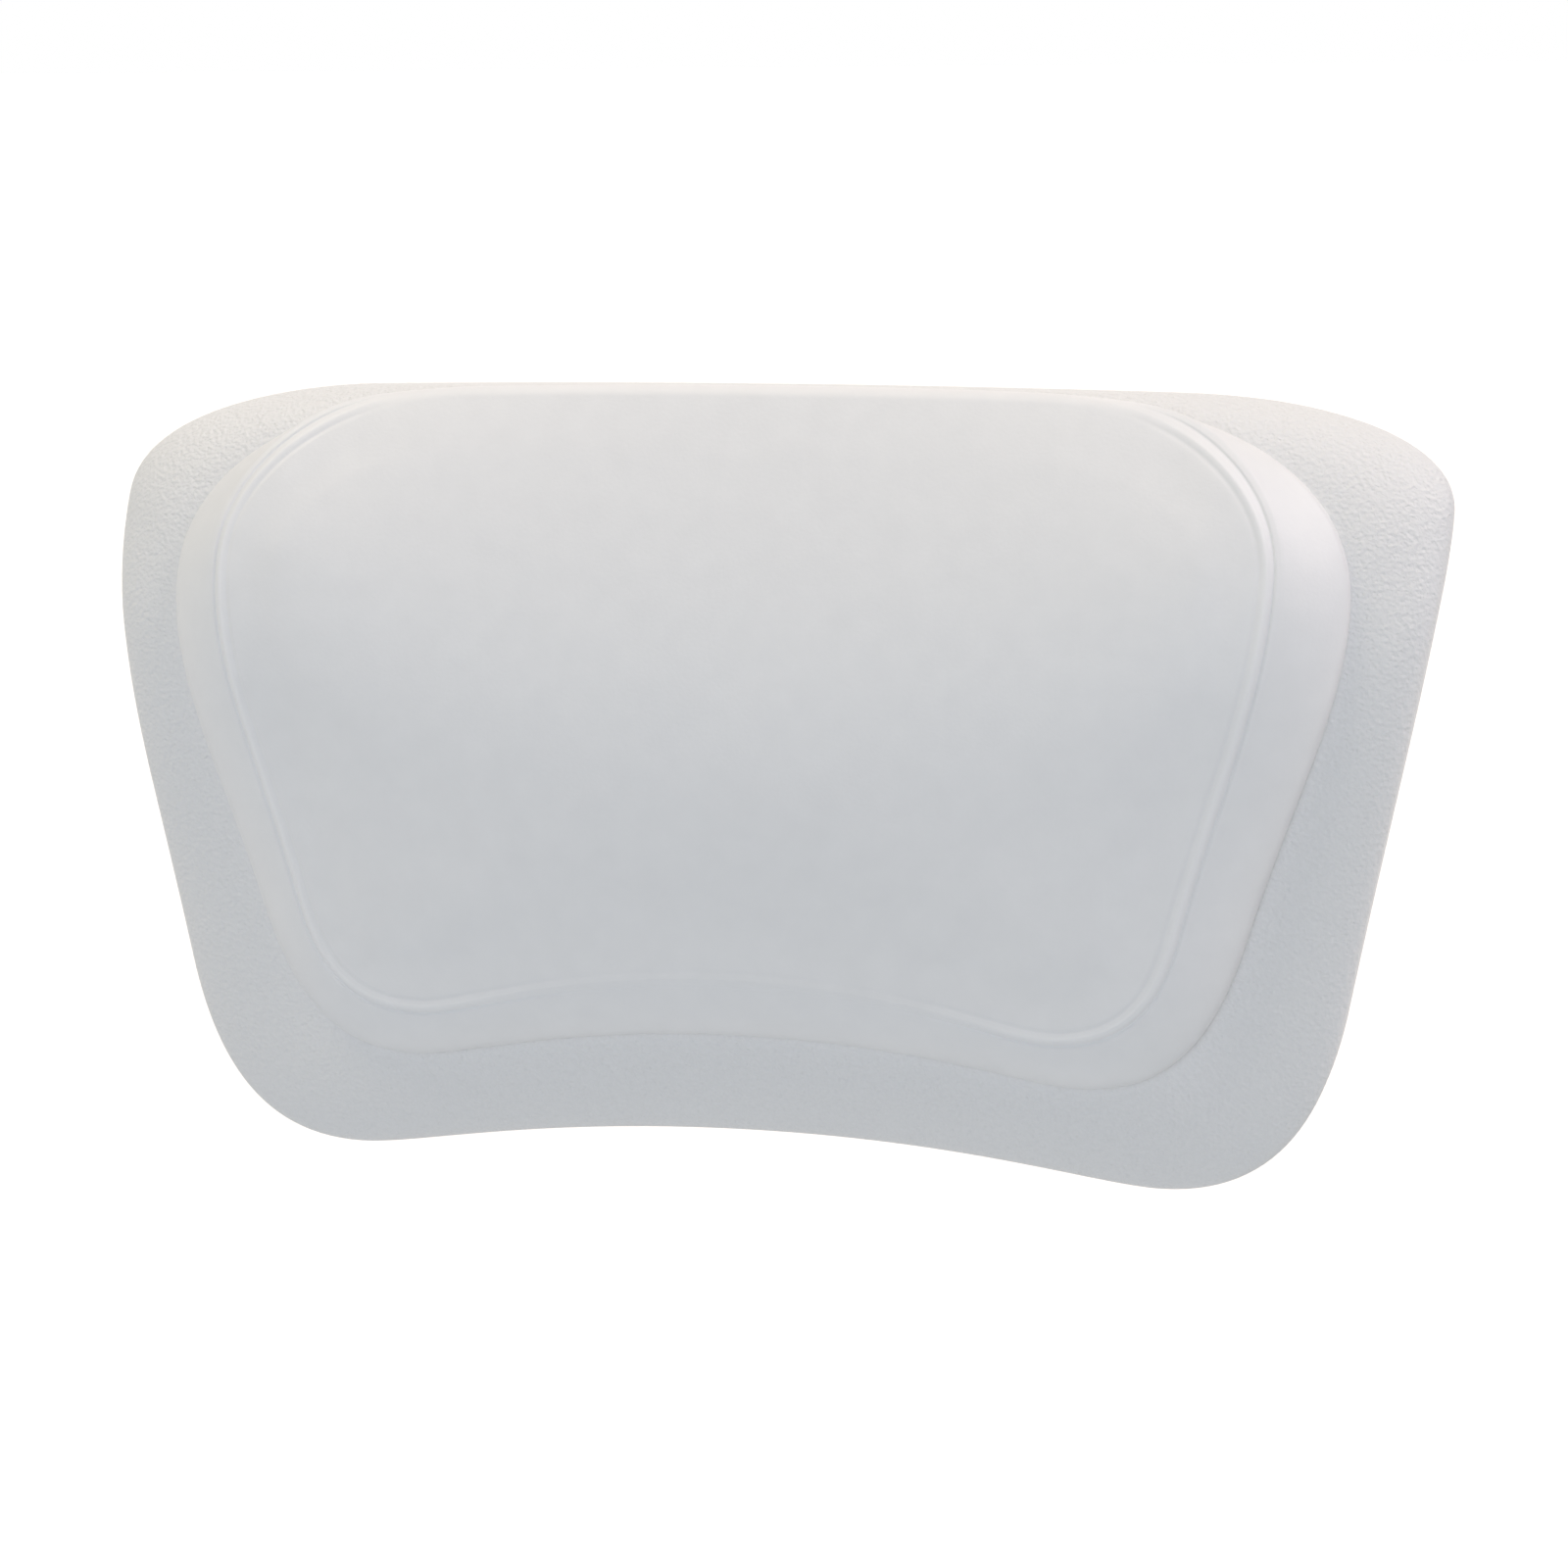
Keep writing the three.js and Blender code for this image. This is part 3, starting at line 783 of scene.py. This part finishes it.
crisp = [crispness(p) for p in crease]
pad_rings = []
from_crease = []
insets_mm = (15, 13, 11, 9.5, 8, 6.8, 5.8, 5, 4.4, 3.9, 3.5, 3.1, 2.7, 2.4)
insets_mm += (2.15, 1.9, 1.7, 1.5, 1.25, 1, 0.75, 0.5, 0.25, 0)
panel_shares = [0.1 * k for k in range(8)]
panel_shares += [1 - inset * mm / crown_reach for inset in insets_mm]
for share in panel_shares:
    ring = panel_ring(share)
    away = (1 - share) * crown_reach
    depths = [panel_at(p, share) + relief(away, c) + ripple(p) for p, c in zip(ring, crisp)]
    pad_rings.append(at_depth(ring, depths))
    from_crease.append(away)


def band_depth(number, distance, height):
    """Depth of the band at a share of its height, with the moulded lines at a distance from the crease."""
    low = pad_edge_at(pad_edge[number])
    high = crease_at(crease[number])
    return low + (high - low) * height + relief(-distance, crisp[number])


band_width = [(p - q).length for p, q in zip(crease, pad_edge)]
band_start = 3.2 * mm
most_start = 0.3


def band_share(number, distance):
    """Share of the band's width at a distance from the crease."""
    return min(distance / band_width[number], most_start * distance / band_start)


def off_crease(distance):
    """Ring on the band at a distance from the crease. Over the top it goes straight to the edge."""
    ring = []
    for k, out in enumerate(set_in(crease, -distance)):
        straight = crease[k].lerp(pad_edge[k], band_share(k, distance))
        ring.append(out.lerp(straight, over_top(crease[k])))
    return ring


outsets_mm = (0.25, 0.5, 0.75, 0.95, 1.1, 1.25, 1.38, 1.5, 1.62, 1.75, 1.9, 2.1, 2.4, 2.8, 3.2)
for outset_mm in outsets_mm:
    outset = outset_mm * mm
    from_crease.append(outset)
    heights = [band_height(band_share(k, outset), k) for k in range(len(crease))]
    depths = [band_depth(k, outset, height) for k, height in enumerate(heights)]
    pad_rings.append(at_depth(off_crease(outset), depths))
first_ring = off_crease(band_start)
band_steps = [(step, 0) for step in (0.06, 0.14, 0.24, 0.34, 0.44, 0.54, 0.64, 0.73, 0.8, 0.86)]
band_steps += [(0.9, 0.003), (0.93, 0.009), (0.955, 0.02), (0.975, 0.038)]
band_steps += [(0.99, 0.063), (0.998, 0.095), (1, 0.13)]
most_drop = band_steps[-1][1]
for step, drop in band_steps:
    ring = between(first_ring, pad_edge, step)
    depths = []
    for k, width in enumerate(band_width):
        first = band_share(k, band_start)
        share = first + step * (1 - first)
        dip = channel[k] * drop / most_drop
        depths.append(band_depth(k, share * width, band_height(share, k) - drop) - dip)
    pad_rings.append(at_depth(ring, depths))
edge_depths = [seat_at(p, 1) - dip + weld_gap for p, dip in zip(pad_edge, channel)]
pad_rings.append(at_depth(pad_edge, edge_depths))
pad_rings = rolled(pad_rings)


def smooth_skin():
    """White moulded skin, satin, with the faint mottle of a polished mould and a painted highlight along
    the bead.
    """
    finish, nodes, links, shader = bare_finish("smooth_skin")
    shader.inputs["Specular IOR Level"].default_value = 0.4
    where = nodes.new("ShaderNodeTexCoord")
    pores = nodes.new("ShaderNodeTexNoise")
    pores.inputs["Scale"].default_value = 1150
    pores.inputs["Detail"].default_value = 2
    mottle = nodes.new("ShaderNodeTexNoise")
    mottle.inputs["Scale"].default_value = 150
    mottle.inputs["Detail"].default_value = 4
    bump = nodes.new("ShaderNodeBump")
    bump.inputs["Strength"].default_value = 0.5
    bump.inputs["Distance"].default_value = 0.08 * mm
    shade = nodes.new("ShaderNodeMapRange")
    shade.inputs["To Min"].default_value = 0.4
    shade.inputs["To Max"].default_value = 0.52
    tint = nodes.new("ShaderNodeMixRGB")
    tint.inputs["Color1"].default_value = (0.775, 0.777, 0.785, 1)
    tint.inputs["Color2"].default_value = (0.83, 0.83, 0.835, 1)
    links.new(where.outputs["Object"], pores.inputs["Vector"])
    links.new(where.outputs["Object"], mottle.inputs["Vector"])
    links.new(pores.outputs["Fac"], bump.inputs["Height"])
    links.new(bump.outputs["Normal"], shader.inputs["Normal"])
    links.new(mottle.outputs["Fac"], shade.inputs["Value"])
    links.new(shade.outputs["Result"], shader.inputs["Roughness"])
    links.new(mottle.outputs["Fac"], tint.inputs["Fac"])
    # Painted highlight: the bead round the panel is painted paler, standing in for the light its raised lip
    # catches.
    painted_highlight_mask = nodes.new("ShaderNodeAttribute")
    painted_highlight_mask.attribute_name = "painted_bead_highlight"
    painted_highlight_mix = nodes.new("ShaderNodeMixRGB")
    painted_highlight_mix.inputs["Color2"].default_value = (0.85, 0.85, 0.855, 1)
    links.new(painted_highlight_mask.outputs["Fac"], painted_highlight_mix.inputs["Fac"])
    links.new(tint.outputs["Color"], painted_highlight_mix.inputs["Color1"])
    links.new(painted_highlight_mix.outputs["Color"], shader.inputs["Base Color"])
    return finish


pad_shell = bmesh.new()
grow(pad_shell, pad_rings + pad_under_rings(pad_wall)[::-1])
painted_bead_highlight = pad_shell.verts.layers.float.new("painted_bead_highlight")
column_layer = pad_shell.verts.layers.int["place"]
ring_layer = pad_shell.verts.layers.int["step"]
# Painted highlight along the bead: each vertex gets a share, from its distance to the crease, that makes
# the skin paler there.
for vert in pad_shell.verts:
    if vert[ring_layer] < len(from_crease):
        on_bead = bell(from_crease[vert[ring_layer]], 0, bead_width)
        vert[painted_bead_highlight] = crisp[vert[column_layer]] ** 2 * on_bead
head_pad = piece("head_pad", closed(pad_shell), smooth_skin())
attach(head_pad, "pillow")
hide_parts("pad_skin")

# Suction cups
# Four soft cups of clear vinyl. Each is one moulding: a hollow skirt that sticks to the tub wall, a neck, a
# mushroom head that snaps into its socket, and a tab to peel the cup off by.
cup_radius = 25 * mm
lip_land = 22.2 * mm
cup_hollow = 10.4 * mm
hub_radius = 8 * mm
hub_front = 2.8 * mm
neck_radius = 4.3 * mm
head_radius = 6.2 * mm
head_rear = 6.4 * mm
head_front = 13.4 * mm
tab_length = 7 * mm
tab_half_width = 5 * mm
tab_rounding = 2.6 * mm


def clear_vinyl():
    """Clear soft vinyl with a cool tint, glossy, with the faint ripple of a moulding."""
    finish, nodes, links, shader = bare_finish("clear_vinyl")
    shader.inputs["Roughness"].default_value = 0.14
    shader.inputs["IOR"].default_value = 1.5
    shader.inputs["Transmission Weight"].default_value = 0.88
    where = nodes.new("ShaderNodeTexCoord")
    swirl = nodes.new("ShaderNodeTexNoise")
    swirl.inputs["Scale"].default_value = 180
    swirl.inputs["Detail"].default_value = 2
    bump = nodes.new("ShaderNodeBump")
    bump.inputs["Strength"].default_value = 0.2
    bump.inputs["Distance"].default_value = 0.1 * mm
    tint = nodes.new("ShaderNodeMixRGB")
    tint.inputs["Color1"].default_value = (0.84, 0.9, 0.92, 1)
    tint.inputs["Color2"].default_value = (0.9, 0.94, 0.95, 1)
    links.new(where.outputs["Object"], swirl.inputs["Vector"])
    links.new(swirl.outputs["Fac"], bump.inputs["Height"])
    links.new(bump.outputs["Normal"], shader.inputs["Normal"])
    links.new(swirl.outputs["Fac"], tint.inputs["Fac"])
    links.new(tint.outputs["Color"], shader.inputs["Base Color"])
    return finish


def curve(start, start_way, end_way, end, steps):
    """Points of radius and depth along a bezier curve."""
    knots = [Vector((radius, depth, 0)) for radius, depth in (start, start_way, end_way, end)]
    return [(p.x, p.y) for p in interpolate_bezier(*knots, steps)]


vinyl = clear_vinyl()
wall_depth = -stand_off
roof = wall_depth + cup_hollow
lip_edge = 1.4 * mm
lip_round = 0.3 * mm
lip_lift = 0.25 * mm
cup_section = curve(
    (0, roof),
    (9 * mm, roof),
    (19 * mm, wall_depth + 6.2 * mm),
    (lip_land, wall_depth + 0.2 * mm),
    18,
)
cup_section += [
    (lip_land + lip_round, wall_depth),
    (cup_radius - lip_round, wall_depth),
    (cup_radius, wall_depth + lip_lift),
    (cup_radius, wall_depth + lip_edge),
]
cup_section += curve(
    (cup_radius - lip_round, wall_depth + lip_edge + lip_lift),
    (20.5 * mm, wall_depth + 6.4 * mm),
    (15 * mm, hub_front - 1.2 * mm),
    (hub_radius, hub_front),
    16,
)
cup_section += [
    (neck_radius + 0.5 * mm, hub_front),
    (neck_radius, hub_front + 0.2 * mm),
    (neck_radius, head_rear),
    (head_radius - 0.3 * mm, head_rear),
    (head_radius, head_rear + 0.3 * mm),
    (head_radius, head_rear + 2.3 * mm),
    (5.4 * mm, head_rear + 4.6 * mm),
    (neck_radius, head_front - 0.5 * mm),
    (neck_radius - 0.6 * mm, head_front),
    (0, head_front),
]
for body, place in cup_places.items():
    where = body.removeprefix("cup_")
    cup = turned(place, cup_section)
    rim_faces = []
    for face in cup.faces:
        spot = face.calc_center_median() - place
        on_lip = abs(spot.y + (lip_lift + lip_edge) / 2) < 0.1 * mm
        if on_lip and spot.z < -0.97 * cup_radius and abs(spot.x) < tab_half_width:
            rim_faces.append(face)
    grown = bmesh.ops.extrude_face_region(cup, geom=rim_faces)["geom"]
    tab_end = [part for part in grown if isinstance(part, bmesh.types.BMVert)]
    bmesh.ops.delete(cup, geom=rim_faces, context="FACES_ONLY")
    for vert in tab_end:
        across = (vert.co.x - place.x) / tab_half_width
        vert.co.z = place.z - cup_radius - tab_length + tab_rounding * across * across
        vert.co.y -= gap
    bmesh.ops.recalc_face_normals(cup, faces=cup.faces)
    sucker = piece("sucker_" + where, cup, vinyl, crisp_degrees=40)
    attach(sucker, body)
    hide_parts("suction_cup_" + where)

# Studio
# A plain pale floor well under the pillow, an even light all round, a broad warm lamp high on either side
# and a weaker cool one in front. The floor and the surroundings look white to the camera and in gloss.
floor_height = -450 * mm
floor_size = 30
floor_glow = 0.2
sky_colour = (1, 1, 0.97, 1)
sky_strength = 0.321
lamp_spread = math.radians(40)
lamps = {
    "right_lamp": (math.radians(100), math.radians(50), 1.62, (1, 0.91, 0.925)),
    "left_lamp": (math.radians(-80), math.radians(60), 1.19, (1, 0.89, 0.7)),
    "front_lamp": (0, math.radians(10), 0.79, (0.755, 0.85, 1)),
}


def seen_directly(tree):
    """Node output that is 1 where the camera, a gloss or a clear piece looks at the surface."""
    path = tree.nodes.new("ShaderNodeLightPath")
    camera_or_gloss = tree.nodes.new("ShaderNodeMath")
    any_look = tree.nodes.new("ShaderNodeMath")
    any_look.use_clamp = True
    tree.links.new(path.outputs["Is Camera Ray"], camera_or_gloss.inputs[0])
    tree.links.new(path.outputs["Is Glossy Ray"], camera_or_gloss.inputs[1])
    tree.links.new(camera_or_gloss.outputs["Value"], any_look.inputs[0])
    tree.links.new(path.outputs["Is Transmission Ray"], any_look.inputs[1])
    return any_look.outputs["Value"]


floor_bm = bmesh.new()
floor_place = Matrix.Translation((0, 0, floor_height))
bmesh.ops.create_grid(floor_bm, x_segments=1, y_segments=1, size=floor_size, matrix=floor_place)
floor_finish, floor_nodes, floor_links, floor_shader = bare_finish("pale_floor")
floor_shader.inputs["Roughness"].default_value = 1
floor_shader.inputs["Specular IOR Level"].default_value = 0
floor_tint = floor_nodes.new("ShaderNodeMixRGB")
floor_tint.inputs["Color1"].default_value = (0.55, 0.6, 0.645, 1)
floor_tint.inputs["Color2"].default_value = (0.9, 0.9, 0.9, 1)
floor_shader.inputs["Emission Color"].default_value = (1, 1, 1, 1)
glow = floor_nodes.new("ShaderNodeMath")
glow.operation = "MULTIPLY"
glow.inputs[1].default_value = floor_glow
looked_at = seen_directly(floor_finish.node_tree)
floor_links.new(looked_at, floor_tint.inputs["Fac"])
floor_links.new(looked_at, glow.inputs[0])
floor_links.new(glow.outputs["Value"], floor_shader.inputs["Emission Strength"])
floor_links.new(floor_tint.outputs["Color"], floor_shader.inputs["Base Color"])
floor = piece("floor", floor_bm, floor_finish)

world = bpy.data.worlds.new("studio")
world.use_nodes = True
world_nodes, world_links = world.node_tree.nodes, world.node_tree.links
sky = world_nodes["Background"]
sky.inputs["Color"].default_value = sky_colour
sky.inputs["Strength"].default_value = sky_strength
white = world_nodes.new("ShaderNodeBackground")
white.inputs["Color"].default_value = (1, 1, 1, 1)
choice = world_nodes.new("ShaderNodeMixShader")
world_links.new(seen_directly(world.node_tree), choice.inputs["Fac"])
world_links.new(sky.outputs["Background"], choice.inputs[1])
world_links.new(white.outputs["Background"], choice.inputs[2])
world_links.new(choice.outputs["Shader"], world_nodes["World Output"].inputs["Surface"])
bpy.context.scene.world = world

for name, (side, height, strength, colour) in lamps.items():
    lamp = bpy.data.objects.new(name, bpy.data.lights.new(name, "SUN"))
    lamp.data.energy = strength
    lamp.data.angle = lamp_spread
    lamp.data.color = colour
    way = Vector((
        math.sin(side) * math.cos(height),
        -math.cos(side) * math.cos(height),
        math.sin(height),
    ))
    lamp.rotation_euler = way.to_track_quat("Z", "Y").to_euler()
    bpy.context.scene.collection.objects.link(lamp)
bpy.context.scene.view_settings.view_transform = "Standard"
